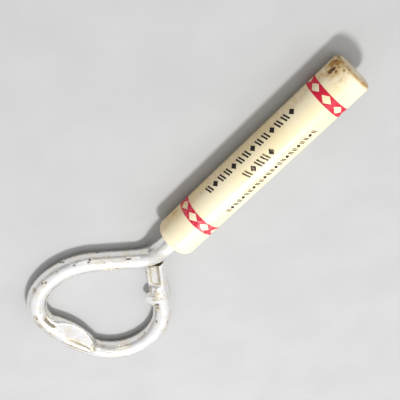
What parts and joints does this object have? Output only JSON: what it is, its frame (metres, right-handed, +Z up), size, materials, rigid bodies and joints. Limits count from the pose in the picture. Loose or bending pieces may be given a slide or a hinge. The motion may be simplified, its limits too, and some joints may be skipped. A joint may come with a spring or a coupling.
{
  "type": "bottle opener",
  "caption": "Souvenir bottle opener: a bent steel rod loop with a coined lip and a tooth, fixed in a turned, enamelled wooden handle with printed bands.",
  "frame": {"origin": "middle of the footprint, on the surface that the opener lies on", "axes": "+X along the handle from the loop to the butt, +Z up off the table, with the loop lying flat; +Y to the side of the shank's bend"},
  "size_m": [0.1306, 0.0514, 0.0133],
  "materials": {
    "bare_wood": "satin",
    "cream_enamel": "gloss, worn at the rims",
    "red_print": "gloss",
    "black_print": "satin",
    "plated_steel": "bright plating, worn and pitted"
  },
  "bodies": {
    "root": {"handle_core": "bare_wood", "enamel_coat": "cream_enamel", "front_band": "red_print", "rear_band": "red_print", "bold_ornament": "black_print", "short_ornament": "black_print", "fine_ornament": "black_print", "opener_wire": "plated_steel"}
  },
  "joints": []
}
